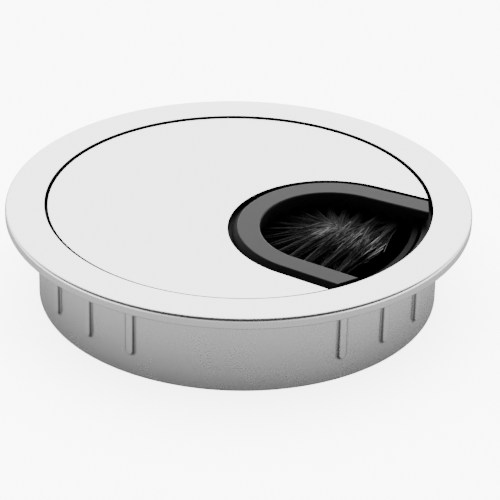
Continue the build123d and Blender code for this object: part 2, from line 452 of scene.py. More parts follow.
def to_object(
    name: str,
    points: np.ndarray,
    quads: np.ndarray,
    rings: list[list[int]] | None = None,
    sharp: float = 32.0,
) -> bpy.types.Object:
    """Makes a smooth mesh object at the origin.

    Args:
        name: The object's name.
        points: Corner points in millimetres, one line each.
        quads: Corner numbers of the four-sided faces.
        rings: Corner numbers of other flat faces, such as end caps.
        sharp: Faces that meet at a larger angle than this, in degrees, keep a crisp edge.

    Returns:
        The new object.
    """
    mesh = bpy.data.meshes.new(name)
    mesh.from_pydata((points * MM).tolist(), [], quads.tolist() + (rings or []))
    work = bmesh.new()
    work.from_mesh(mesh)
    bmesh.ops.remove_doubles(work, verts=work.verts, dist=MERGE * MM)
    bmesh.ops.dissolve_degenerate(work, edges=work.edges, dist=MERGE * MM)
    bmesh.ops.recalc_face_normals(work, faces=work.faces)
    work.to_mesh(mesh)
    work.free()
    mesh.polygons.foreach_set("use_smooth", np.ones(len(mesh.polygons), bool))
    mesh.set_sharp_from_angle(angle=math.radians(sharp))
    made = bpy.data.objects.new(name, mesh)
    bpy.context.scene.collection.objects.link(made)
    return made


def smooth_copy(name: str, node: str, sharp: float = 30.0) -> bpy.types.Object:
    """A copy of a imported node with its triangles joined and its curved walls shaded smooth.

    Args:
        name: The new object's name.
        node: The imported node.
        sharp: Faces that meet at a larger angle than this, in degrees, keep a crisp edge.

    Returns:
        The new object.
    """
    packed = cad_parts[node].data
    points = np.empty(len(packed.vertices) * 3)
    packed.vertices.foreach_get("co", points)
    corners = np.empty(len(packed.loops), int)
    packed.loops.foreach_get("vertex_index", corners)
    return to_object(name, points.reshape(-1, 3) / MM, corners.reshape(-1, 3), sharp=sharp)


def face_heights(made: bpy.types.Object) -> tuple[np.ndarray, np.ndarray]:
    """Each face's centre height in millimetres and the upward part of its normal.

    Args:
        made: A mesh object.

    Returns:
        Heights and upward parts, one of each per face.
    """
    faces = len(made.data.polygons)
    centres, normals = np.empty(faces * 3), np.empty(faces * 3)
    made.data.polygons.foreach_get("center", centres)
    made.data.polygons.foreach_get("normal", normals)
    return centres.reshape(-1, 3)[:, 2] / MM, normals.reshape(-1, 3)[:, 2]


def dress(piece: bpy.types.Object, *materials: bpy.types.Material) -> None:
    """Gives a piece its materials, in slot order."""
    piece.data.materials.clear()
    for material in materials:
        piece.data.materials.append(material)


def stand_for(piece: bpy.types.Object, body: str, slot: Slot, *nodes: str) -> bpy.types.Object:
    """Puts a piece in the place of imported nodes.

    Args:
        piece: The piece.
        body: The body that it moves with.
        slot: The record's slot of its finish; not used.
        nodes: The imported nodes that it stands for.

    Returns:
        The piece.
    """
    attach(piece, body)
    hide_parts(*nodes)
    return piece


# ---- the sleeve ----------------------------------------------------------------------------------


@dataclass
class Sleeve:
    """The cast sleeve: a flange, a barrel with grip ribs, and a ledge that carries the lid."""

    height: float = 19.5
    flange_radius: float = 46.0
    flange_thickness: float = 2.2
    flange_edge: float = 0.8
    flange_under_edge: float = 0.4
    root_fillet: float = 0.3
    barrel_top_radius: float = 39.75
    barrel_foot_radius: float = 39.6
    foot_edge: float = 0.55
    foot_inner_edge: float = 0.25
    foot_guide: float = 8.0
    head_guide: float = 4.0
    bore_radius: float = 37.7
    ledge_radius: float = 36.2
    ledge_top: float = 16.4
    ledge_bottom: float = 14.6
    ledge_gusset: float = 1.05
    ledge_edge: float = 0.15
    gusset_edge: float = 0.4
    recess_radius: float = 38.3
    recess_edge: float = 0.1
    rib_crest: float = 40.25
    rib_width: float = 2.1
    rib_foot: float = 4.6
    rib_wall: float = 0.48
    rib_groups: int = 4
    ribs_per_group: int = 3
    rib_pitch: float = 15.0
    first_group: float = 45.0
    plain_columns: int = 300
    rib_columns: int = 9
    wall_margin: float = 0.05
    crest_half: float = 0.4
    columns_beside: tuple[float, ...] = (0.15, 0.3, 0.5)
    plain_gap: float = 0.6
    ribs_from: float = 1.0
    # Strength and width of the painted shade in the corner under the flange and along the ribs'
    # outlines.
    corner_mark: float = 0.5
    corner_width: float = 0.35
    outline_mark: float = 0.6
    outline_width: float = 0.25
    recess_margin: float = 0.05

    def rib_angles(self) -> np.ndarray:
        """The heading of each rib, in radians."""
        groups = np.arange(self.rib_groups) * 360 / self.rib_groups + self.first_group
        places = (np.arange(self.ribs_per_group) - (self.ribs_per_group - 1) / 2) * self.rib_pitch
        return np.radians(np.add.outer(groups, places).ravel()) % (2 * np.pi)

    def headings(self) -> np.ndarray:
        """Angles of the grid's columns: even all round, and close together across each rib.

        Returns:
            The angles in rising order, in radians.
        """
        half = self.rib_width / 2
        inner, outer = half - self.rib_wall - self.wall_margin, half + self.wall_margin
        wall = np.linspace(inner, outer, self.rib_columns)
        crest = np.linspace(-self.crest_half, self.crest_half, self.rib_columns)
        beside = half + np.array(self.columns_beside)
        across = np.concatenate([-beside, -wall, crest, wall, beside]) / self.barrel_top_radius
        even = np.linspace(0, 2 * np.pi, self.plain_columns, endpoint=False)
        ribs = self.rib_angles()
        off = np.abs((even[:, None] - ribs + np.pi) % (2 * np.pi) - np.pi).min(axis=1)
        even = even[off > (half + self.plain_gap) / self.barrel_top_radius]
        return np.unique(np.concatenate([even, (ribs[:, None] + across).ravel() % (2 * np.pi)]))

    def outer_wall(self) -> np.ndarray:
        """Radius and height of the barrel's outer wall, from its foot up to the flange.

        The rows lie close together over the ribs' half-round feet.

        Returns:
            One radius and height for each row.
        """
        foot = self.rib_foot
        under = self.height - self.flange_thickness
        heights = np.concatenate([
            np.linspace(self.ribs_from, foot - 0.5, 5),
            np.linspace(foot - 0.3, foot + 1.2, 26),
            np.linspace(foot + 1.6, under - self.root_fillet - 0.2, 9),
        ])
        rise = np.clip((heights - foot) / (under - foot), 0, 1)
        radii = self.barrel_foot_radius + (self.barrel_top_radius - self.barrel_foot_radius) * rise
        return np.stack([radii, heights], axis=1)

    def profile(self) -> np.ndarray:
        """The closed section through the wall.

        The first and last corner of each part only give its ends their direction, and are dropped.

        Returns:
            Radius and height of each point.
        """
        flange_bottom = self.height - self.flange_thickness
        foot = rounded([
            (self.bore_radius, self.foot_guide, 0.0),
            (self.bore_radius, 0.0, self.foot_inner_edge),
            (self.barrel_foot_radius, 0.0, self.foot_edge),
            (self.barrel_foot_radius, self.foot_guide, 0.0),
        ])[1:-1]
        head = rounded([
            (self.barrel_top_radius, flange_bottom - self.head_guide, 0.0),
            (self.barrel_top_radius, flange_bottom, self.root_fillet),
            (self.flange_radius, flange_bottom, self.flange_under_edge),
            (self.flange_radius, self.height, self.flange_edge),
            (self.recess_radius, self.height, self.recess_edge),
            (self.recess_radius, self.ledge_top, self.recess_edge),
            (self.ledge_radius, self.ledge_top, self.ledge_edge),
            (self.ledge_radius, self.ledge_bottom, self.ledge_edge),
            (self.bore_radius, self.ledge_bottom - self.ledge_gusset, self.gusset_edge),
            (self.bore_radius, self.ledge_bottom - self.head_guide, 0.0),
        ])[1:-1]
        return np.concatenate([foot, self.outer_wall(), head])

    def rib_share(self, heading: np.ndarray, height: np.ndarray) -> np.ndarray:
        """How far points of the outer wall stand out towards the ribs' crest, from 0 to 1.

        A rib is a bar with a half-round foot. The share is a smooth step of a point's depth inside
        the outline over the width of the rib's side wall.

        Args:
            heading: Angles of the points.
            height: Heights of the points.

        Returns:
            One share for each point.
        """
        step = np.clip(self.rib_depth(heading, height) / self.rib_wall, 0, 1)
        return step * step * (3 - 2 * step)

    def rib_depth(self, heading: np.ndarray, height: np.ndarray) -> np.ndarray:
        """How deep points lie inside the nearest rib's outline.

        The outline is a straight bar that ends in a half circle, so the depth is half the bar's
        width less the distance from its middle line or from the half circle's centre.

        Args:
            heading: Angles of the points.
            height: Heights of the points.

        Returns:
            One depth for each point, negative outside the outline.
        """
        half = self.rib_width / 2
        turn = (heading[..., None] - self.rib_angles() + np.pi) % (2 * np.pi) - np.pi
        across = np.abs(turn).min(axis=-1) * self.barrel_top_radius
        below = np.clip(self.rib_foot + half - height, 0, None)
        return half - np.hypot(across, below)

    def painted_shade_mark(self, made: bpy.types.Object) -> None:
        """Paints shade on the ribs' side walls, along their outlines and in the corner under the flange.

        The mark is 4 * share * (1 - share) on the ribs' walls, and bell curves of the distance from
        their outlines and from the corner between barrel and flange.

        Args:
            made: The sleeve's skin.
        """
        points = np.empty(len(made.data.vertices) * 3)
        made.data.vertices.foreach_get("co", points)
        x, y, height = points.reshape(-1, 3).T / MM
        radius = np.hypot(x, y)
        heading = np.arctan2(y, x)
        share = self.rib_share(heading, height)
        away = self.rib_depth(heading, height) / self.outline_width
        outline = self.outline_mark * np.exp(-(away**2))
        under = self.height - self.flange_thickness
        wall = (radius > self.barrel_foot_radius - TOUCH) & (height > self.ribs_from) & (height < under)
        corner = np.hypot(radius - self.barrel_top_radius, height - under)
        mark = np.maximum(4 * share * (1 - share), outline) * wall
        mark = np.maximum(mark, self.corner_mark * np.exp(-((corner / self.corner_width) ** 2)))
        layer = made.data.attributes.new("painted_shade_mark", "FLOAT", "POINT")
        layer.data.foreach_set("value", mark.astype(np.float32))

    def build(self, material: bpy.types.Material, shaded: bpy.types.Material) -> bpy.types.Object:
        """Turns the section round the axis and lifts the ribs out of the outer wall.

        Args:
            material: The plating.
            shaded: The near-black painted shade inside the lid's recess.

        Returns:
            The sleeve's skin.
        """
        profile, headings = self.profile(), self.headings()
        radii = np.repeat(profile[None, :, 0], len(headings), axis=0)
        heights = profile[:, 1]
        under = self.height - self.flange_thickness
        outside = (heights < under + TOUCH) & (profile[:, 0] > self.barrel_foot_radius - TOUCH)
        share = self.rib_share(headings[:, None], heights[None, :]) * outside
        radii = radii + np.clip(self.rib_crest - radii, 0, None) * share
        points = np.stack([
            radii * np.cos(headings)[:, None],
            radii * np.sin(headings)[:, None],
            np.repeat(heights[None], len(headings), axis=0),
        ], axis=2)
        quads = grid_quads(len(headings), len(profile), True, True)
        made = to_object("sleeve_casting", points.reshape(-1, 3), quads)
        dress(made, material, shaded)
        self.shade_recess(made)
        self.painted_shade_mark(made)
        return stand_for(made, "sleeve", Slot.METAL, "sleeve")

    def shade_recess(self, made: bpy.types.Object) -> None:
        """Paints shade on the wall and floor of the lid's recess: they get the second material, a
        near-black painted shade.

        Args:
            made: The sleeve's skin.
        """
        centres = np.empty(len(made.data.polygons) * 3)
        made.data.polygons.foreach_get("center", centres)
        centres = centres.reshape(-1, 3) / MM
        reach = np.hypot(centres[:, 0], centres[:, 1])
        above = centres[:, 2] > self.ledge_top - self.recess_margin
        inside = (reach < self.recess_radius + TOUCH) & above
        made.data.polygons.foreach_set("material_index", inside.astype(np.int32))


# ---- the lid -------------------------------------------------------------------------------------


@dataclass
class Lid:
    """The cast lid: a plated plate whose edges in the gaps get a near-black painted shade."""

    plate_bottom: float = 17.0
    bevel_bottom: float = 19.1
    edge_start: float = 0.02
    edge_past: float = 0.06

    def build(self, material: bpy.types.Material, shaded: bpy.types.Material) -> bpy.types.Object:
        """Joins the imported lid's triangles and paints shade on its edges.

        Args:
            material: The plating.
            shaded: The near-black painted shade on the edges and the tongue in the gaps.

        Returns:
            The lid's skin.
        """
        made = smooth_copy("lid_casting", "cover")
        dress(made, material, shaded)
        # Painted shade: faces between the plate's underside and just below the bevel get the near-black
        # material.
        heights, _ = face_heights(made)
        above = heights > self.plate_bottom + self.edge_start
        edge = above & (heights < self.bevel_bottom + self.edge_past)
        made.data.polygons.foreach_set("material_index", edge.astype(np.int32))
        return stand_for(made, "lid", Slot.METAL, "cover")


# ---- the U-shaped line that the lid's cut-out and the insert share ----------------------------------


@dataclass(frozen=True)
class Outlet:
    """The cut-out's place in the lid: its heading and the centre of its round end."""

    azimuth: float = -29.0
    centre: float = 21.1

    def turn(self, flat: np.ndarray) -> np.ndarray:
        """Turns points from the cut-out's own directions to the lid's.

        Args:
            flat: Points whose first two numbers are x and y.

        Returns:
            The turned points.
        """
        a = math.radians(self.azimuth)
        spin = np.array([[math.cos(a), math.sin(a)], [-math.sin(a), math.cos(a)]])
        return np.concatenate([flat[..., :2] @ spin, flat[..., 2:]], axis=-1)

    def line(
        self, radii: np.ndarray, flares: np.ndarray, rim: float, shares: np.ndarray
    ) -> np.ndarray:
        """Points of U-shaped lines, each a round end and two arms out to a rim circle.

        The round end is the arc of radius r about the centre. At its ends, 90 degrees less the
        flare from its middle, two straight arms leave it as tangents and run out to the circle
        of the rim's radius about the lid's centre. A share from -1 to 1 goes from the right arm's
        end round to the left arm's end; the inner half of each side is the arc.

        Args:
            radii: Radius of each line's round end.
            flares: Angle that each line's arms open by, in degrees.
            rim: Radius of the circle that ends the lines.
            shares: Places along the lines.

        Returns:
            An array of points by share and line, each x and y.
        """
        lean = np.radians(flares)[None, :]
        side = np.sign(shares)[:, None]
        part = np.abs(shares)[:, None]
        angle = np.pi - np.clip(part * 2, 0, 1) * (np.pi / 2 - lean)
        start_x = self.centre - radii * np.sin(lean)
        start_y = radii * np.cos(lean)
        across = start_y * np.cos(lean) - start_x * np.sin(lean)
        reach = np.sqrt(rim**2 - across**2) - start_x * np.cos(lean) - start_y * np.sin(lean)
        past = np.clip(part * 2 - 1, 0, 1) * reach
        on_arc = part <= 0.5
        end = np.pi / 2 + lean
        arm_x = self.centre + radii * np.cos(end) + past * np.cos(lean)
        arm_y = radii * np.sin(end) + past * np.sin(lean)
        x = np.where(on_arc, self.centre + radii * np.cos(angle), arm_x)
        y = np.where(on_arc, radii * np.sin(angle), arm_y)
        return np.stack([x, side * y], axis=2)


OUTLET = Outlet()


# ---- the brush insert's frame --------------------------------------------------------------------


@dataclass
class InsertFrame:
    """The moulded frame of the brush insert: a U band in the cut-out, its groove, flange and bar."""

    top: float = 19.7
    band_bottom: float = 18.12
    flange_top: float = 16.88
    flange_bottom: float = 14.68
    plate_bottom: float = 13.48
    band_radius: float = 19.7
    band_flare: float = 3.4
    band_rim: float = 37.4
    outer_bevel: float = 1.1
    bevel_top_edge: float = 0.25
    bevel_foot_edge: float = 0.12
    inner_edge: float = 0.4
    well_radius: float = 14.25
    groove_radius: float = 18.7
    pocket_radius: float = 17.3
    flange_radius: float = 22.8
    flare: float = 3.0
    flange_rim: float = 35.6
    flange_edge: float = 0.15
    bar_inner: float = 34.4
    bar_height: float = 1.8
    bar_edge: float = 0.1
    bar_past: float = 0.4
    bar_columns: int = 41
    peg_radius: float = 0.9
    peg_head: float = 1.6
    peg_head_height: float = 0.5
    peg_pitch: float = 16.75
    pegs_per_side: int = 2
    peg_sides: int = 28
    # Heights and slope that pick the faces of the near-black painted shade on the flanks, the well and
    # the flange's upper side.
    painted_shade_below: float = 0.12
    painted_shade_above: float = 0.02
    painted_shade_slope: float = 0.3
    arc_steps: int = 48
    arm_steps: int = 10

    def shares(self) -> np.ndarray:
        """Places along the U, close together on the round end.

        Returns:
            Shares from -1 to 1.
        """
        half = np.concatenate([
            np.linspace(0, 0.5, self.arc_steps, endpoint=False),
            np.linspace(0.5, 1.0, self.arm_steps + 1),
        ])
        return np.concatenate([-half[:0:-1], half])

    def sweep(self, section: np.ndarray, flares: np.ndarray, rim: float) -> Shell:
        """Carries a closed section along the U and closes its two ends.

        The section's first coordinate is the radius of the line that a point runs along.

        Args:
            section: Radius and height of the section's points.
            flares: Flare of each point's line.
            rim: Radius of the circle that ends the sweep.

        Returns:
            Points, four-sided faces, and the two end faces.
        """
        shares = self.shares()
        flat = OUTLET.line(section[:, 0], flares, rim, shares)
        heights = np.repeat(section[None, :, 1:], len(shares), axis=0)
        points = OUTLET.turn(np.concatenate([flat, heights], axis=2)).reshape(-1, 3)
        count = len(section)
        quads = grid_quads(len(shares), count, False, True)
        last = (len(shares) - 1) * count
        return points, quads, [list(range(count)), list(range(last, last + count))]

    def band(self) -> Shell:
        """The visible band with the neck of its groove.

        The lines' flare goes evenly from the well's to the band's own between the inner edge and
        the bevel.

        Returns:
            The band's shell.
        """
        section = rounded([
            (self.well_radius, self.band_bottom, 0.0),
            (self.well_radius, self.top, self.inner_edge),
            (self.band_radius - self.outer_bevel, self.top, self.bevel_top_edge),
            (self.band_radius, self.top - self.outer_bevel, self.bevel_foot_edge),
            (self.band_radius, self.band_bottom, 0.0),
            (self.groove_radius, self.band_bottom, 0.0),
            (self.groove_radius, self.flange_top, 0.0),
            (self.pocket_radius, self.flange_top, 0.0),
            (self.pocket_radius, self.band_bottom, 0.0),
        ], steps=9)
        reach = self.band_radius - self.outer_bevel - self.well_radius - self.inner_edge
        share = np.clip((section[:, 0] - self.well_radius - self.inner_edge) / reach, 0, 1)
        flares = self.flare + (self.band_flare - self.flare) * share
        return self.sweep(section, flares, self.band_rim)

    def flange(self) -> Shell:
        """The flange below the lid.

        Returns:
            The flange's shell.
        """
        section = rounded([
            (self.pocket_radius, self.flange_bottom, 0.0),
            (self.pocket_radius, self.flange_top, 0.0),
            (self.flange_radius, self.flange_top, self.flange_edge),
            (self.flange_radius, self.flange_bottom, self.flange_edge),
        ], steps=3)
        return self.sweep(section, np.full(len(section), self.flare), self.flange_rim)

    def bar(self) -> Shell:
        """The curved bar that closes the open end of the U near the rim.

        Its section is carried along an arc about the lid's axis.

        Returns:
            The bar's shell.
        """
        bar_top = self.flange_bottom + self.bar_height
        section = rounded([
            (self.bar_inner, self.flange_bottom, self.bar_edge),
            (self.flange_rim, self.flange_bottom, self.bar_edge),
            (self.flange_rim, bar_top, self.bar_edge),
            (self.bar_inner, bar_top, self.bar_edge),
        ], steps=3)
        reach = math.asin((self.pocket_radius + self.bar_past) / self.flange_rim)
        angles = np.linspace(-reach, reach, self.bar_columns)
        flat = np.stack([
            np.outer(np.cos(angles), section[:, 0]),
            np.outer(np.sin(angles), section[:, 0]),
            np.repeat(section[None, :, 1], len(angles), axis=0),
        ], axis=2)
        count = len(section)
        last = (len(angles) - 1) * count
        rings = [list(range(count)), list(range(last, last + count))]
        return OUTLET.turn(flat).reshape(-1, 3), grid_quads(len(angles), count, False, True), rings

    def pegs(self) -> list[Shell]:
        """The pegs through the plate, each with a domed, melted head.

        A peg is its section turned about its own axis; the head is a quarter of an ellipse.

        Returns:
            The pegs' shells.
        """
        ring = (self.pocket_radius + self.flange_radius) / 2
        dome = np.linspace(0, np.pi / 2, 7)
        radius = np.concatenate([
            [0.0, self.peg_radius, self.peg_radius, self.peg_head],
            self.peg_head * np.cos(dome),
        ])
        height = np.concatenate([
            [self.flange_bottom, self.flange_bottom, self.plate_bottom, self.plate_bottom],
            self.plate_bottom - self.peg_head_height * np.sin(dome),
        ])
        spin = np.linspace(0, 2 * np.pi, self.peg_sides, endpoint=False)
        made = []
        for side in (-1, 1):
            for place in range(self.pegs_per_side):
                x, y, _, _ = path_point(ring, side * (place + 0.5) * self.peg_pitch, self.flare)
                flat = np.stack([
                    x + np.outer(np.cos(spin), radius),
                    y + np.outer(np.sin(spin), radius),
                    np.repeat(height[None], len(spin), axis=0),
                ], axis=2)
                quads = grid_quads(len(spin), len(radius), True, False)
                made.append((OUTLET.turn(flat).reshape(-1, 3), quads, []))
        return made

    def build(self, material: bpy.types.Material, painted_shade: bpy.types.Material) -> bpy.types.Object:
        """Joins the band, flange, bar and pegs into one piece.

        Args:
            material: The plastic's material.
            painted_shade: The near-black painted shade on the flanks, the well and the flange's upper
                side.

        Returns:
            The frame's skin.
        """
        points, quads, rings = [], [], []
        start = 0
        shells = [self.band(), self.flange(), self.bar(), *self.pegs()]
        for shell_points, shell_quads, shell_rings in shells:
            points.append(shell_points)
            quads.append(shell_quads + start)
            rings += [[corner + start for corner in ring] for ring in shell_rings]
            start += len(shell_points)
        made = to_object("insert_moulding", np.concatenate(points), np.concatenate(quads), rings)
        dress(made, material, painted_shade)
        # Painted shade: faces below the land's top, on the flanks, the well and the flange's upper side,
        # get the near-black material.
        heights, slopes = face_heights(made)
        low = heights < self.top - self.painted_shade_below
        flank = low & ((heights > self.flange_top + self.painted_shade_above) | (slopes > self.painted_shade_slope))
        made.data.polygons.foreach_set("material_index", flank.astype(np.int32))
        return stand_for(made, "lid", Slot.FRAME, "insert_frame")


def path_point(radius: float, distance: float, flare: float) -> tuple[float, float, float, float]:
    """A point of the U and the direction from it into the U.

    The distance is used up on the round end first, and what is left of it on the arm.

    Args:
        radius: Radius of the round end.
        distance: Length along the line from the middle of the round end, positive on the left.
        flare: Angle that the arms open by, in degrees.

    Returns:
        x and y of the point, then x and y of the inward direction.
    """
    lean = math.radians(flare)
    side = 1 if distance >= 0 else -1
    round_length = radius * (math.pi / 2 - lean)
    turn = math.pi - min(abs(distance), round_length) / radius
    past = max(abs(distance) - round_length, 0.0)
    x = OUTLET.centre + radius * math.cos(turn) + past * math.cos(lean)
    y = radius * math.sin(turn) + past * math.sin(lean)
    return x, side * y, -math.cos(turn), -side * math.sin(turn)


# ---- bristles ------------------------------------------------------------------------------------


@dataclass
class BristleField:
    """The bunches of bristles round the well, each a sheaf of fine tapered filaments."""

    per_side: int = 8
    pitch: float = 3.7
    well_radius: float = 14.25
    flare: float = 3.0
    height: float = 16.32
    rise: float = 9.0
    root_depth: float = 1.6
    bunch_radius: float = 0.92
    filament: float = 0.08
    filaments: int = 56
    near_reach: float = -1.2
    near_rise: float = 2.0
    lean: float = 12.0
    rings: int = 8
    sides: int = 4
    centre_gap: float = 1.2
    shortest: float = 0.72
    longest: float = 1.2
    taper: float = 0.45
    # Painted light: the filaments' random tone is scaled by how far a bunch faces +y.
    light: float = 0.78
    light_swing: float = 0.22
    light_gain: float = 2.0
    light_shift: float = 0.4
    seed: int = 7
    # Mean and scatter of the random draws.
    length_draw: tuple[float, float] = (1.0, 0.09)
    fan_draw: tuple[float, float] = (0.6, 0.3)
    stray_draw: tuple[float, float] = (0.0, 0.4)
    end_splay_draw: tuple[float, float] = (1.6, 2.2)
    lift_draw: tuple[float, float] = (0.35, 0.3)
    curl_draw: tuple[float, float] = (0.15, 0.45)
    thickness_draw: tuple[float, float] = (1.0, 0.08)
    lean_scatter: float = 3.0

    def bunch(self, number: int) -> tuple[np.ndarray, np.ndarray, np.ndarray, np.ndarray]:
        """One bunch as tubes.

        Each filament starts at a random point of a disc in its hole and runs into the well. Its
        line is root + forward * s * length + sideways * spread * s^1.5 + up * (lift * s + curl * s^2),
        where s goes from 0 at the wall to 1 at the tip. Its radius shrinks a little to the tip.
        Bunches that point to +y are shorter and steeper than those that point to -y, and get painted
        light: a brighter tone.

        Args:
            number: The bunch's place, 0 at the middle of the round end.

        Returns:
            Points, faces, each point's place along its filament, and each point's tone with its painted
            light.
        """
        draw = np.random.default_rng(self.seed * 100 + number)
        x, y, into_x, into_y = path_point(self.well_radius, number * self.pitch, self.flare)
        on_arm = abs(number * self.pitch) > self.well_radius * math.radians(90 - self.flare)
        reach = abs(y) if on_arm else self.well_radius - self.centre_gap
        count = self.filaments
        where = np.sqrt(draw.random(count)) * self.bunch_radius
        angle = draw.random(count) * 2 * np.pi
        across, up = where * np.cos(angle), where * np.sin(angle)
        facing = float(OUTLET.turn(np.array([[into_x, into_y, 0.0]]))[0, 1])
        reach += self.near_reach * facing
        lean = draw.normal(self.lean, self.lean_scatter) * (-1 if number < 0 else 1)
        length = reach * draw.normal(*self.length_draw, count).clip(self.shortest, self.longest)
        end_splay = max(abs(number) - (self.per_side - 1.5), 0.0) * np.sign(number)
        spread = across * draw.normal(*self.fan_draw, count) + draw.normal(*self.stray_draw, count)
        spread = spread - end_splay * np.abs(draw.normal(*self.end_splay_draw, count))
        spread = spread + math.tan(math.radians(lean)) * length * (abs(number) / self.per_side) ** 2
        climb = math.tan(math.radians(self.rise + self.near_rise * facing))
        lift = climb * length + up * draw.normal(*self.lift_draw, count)
        curl = draw.normal(*self.curl_draw, count)
        share = np.linspace(-self.root_depth / reach, 1.0, self.rings)
        free = np.clip(share, 0, None)
        forward = share[None] * length[:, None]
        sideways = across[:, None] + spread[:, None] * free[None] ** 1.5
        rise = self.height + up[:, None] + lift[:, None] * share[None] + curl[:, None] * free[None] ** 2
        left = np.array([-into_y, into_x])
        flat = np.array([x, y]) + forward[..., None] * np.array([into_x, into_y])
        flat = flat + sideways[..., None] * left
        spine = OUTLET.turn(np.concatenate([flat, rise[..., None]], axis=2))
        swell = draw.normal(*self.thickness_draw, count)[:, None]
        radius = self.filament * swell * (1 - self.taper * free[None] ** 3)
        tube, quads = self.tubes(spine, radius)
        along = np.broadcast_to(free[None, :, None], tube.shape[:3]).ravel()
        # Painted light: bunches facing +y get a brighter tone, those facing -y a darker one; the random
        # part is each filament's own tone.
        turned = float(np.clip(facing * self.light_gain + self.light_shift, -1, 1))
        light = self.light + self.light_swing * turned
        tone_and_light = np.broadcast_to(light * draw.random(count)[:, None, None], tube.shape[:3]).ravel()
        return tube.reshape(-1, 3), quads, along, tone_and_light

    def tubes(self, spine: np.ndarray, radius: np.ndarray) -> tuple[np.ndarray, np.ndarray]:
        """Tubes along many lines at once, with flat ends.

        Each ring lies in the plane of two directions across the line: one is level, and the other
        is at right angles to it and to the line.

        Args:
            spine: Points of the lines, by line and ring.
            radius: The tubes' radius, by line and ring.

        Returns:
            Points by line, ring and side, and the faces.
        """
        count = len(spine)
        along = np.gradient(spine, axis=1)
        along /= np.linalg.norm(along, axis=2, keepdims=True)
        beside = np.cross(along, np.array([0.0, 0.0, 1.0]))
        beside /= np.linalg.norm(beside, axis=2, keepdims=True)
        over = np.cross(beside, along)
        spin = np.linspace(0, 2 * np.pi, self.sides, endpoint=False) + np.pi / 4
        wall = beside[:, :, None] * np.cos(spin)[:, None] + over[:, :, None] * np.sin(spin)[:, None]
        tube = spine[:, :, None] + wall * radius[:, :, None, None]
        one = grid_quads(self.rings, self.sides, False, True)
        size = self.rings * self.sides
        quads = (one[None] + np.arange(count)[:, None, None] * size).reshape(-1, 4)
        caps_low = np.arange(self.sides)[::-1]
        caps_high = np.arange(size - self.sides, size)
        caps = np.stack([caps_low, caps_high])[None] + np.arange(count)[:, None, None] * size
        return tube, np.concatenate([quads, caps.reshape(-1, self.sides)])

    def build(self, material: bpy.types.Material) -> list[bpy.types.Object]:
        """Builds every bunch as a piece.

        Args:
            material: The nylon's material.

        Returns:
            The pieces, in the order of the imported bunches.
        """
        made = []
        for order, number in enumerate(range(-self.per_side, self.per_side + 1), start=1):
            points, quads, along, tone_and_light = self.bunch(number)
            mesh = bpy.data.meshes.new(f"bristles_{order:02d}")
            mesh.from_pydata((points * MM).tolist(), [], quads.tolist())
            mesh.polygons.foreach_set("use_smooth", np.ones(len(mesh.polygons), bool))
            for name, values in (("along", along), ("tone_and_light", tone_and_light)):
                layer = mesh.attributes.new(name, "FLOAT", "POINT")
                layer.data.foreach_set("value", values.astype(np.float32))
            piece = bpy.data.objects.new(mesh.name, mesh)
            bpy.context.scene.collection.objects.link(piece)
            dress(piece, material)
            made.append(stand_for(piece, "lid", Slot.BRISTLE, f"tuft_{order:02d}"))
        return made


# ---- studio --------------------------------------------------------------------------------------


@dataclass(frozen=True)
class Floor:
    """A floor: how high it lies in millimetres, its grey, its own glow, and what sees it.

    One floor is seen directly and the other only in reflections, where a bright floor would wash
    the metal out.
    """

    name: str
    lift: float
    grey: float
    shine: float
    seen: bool


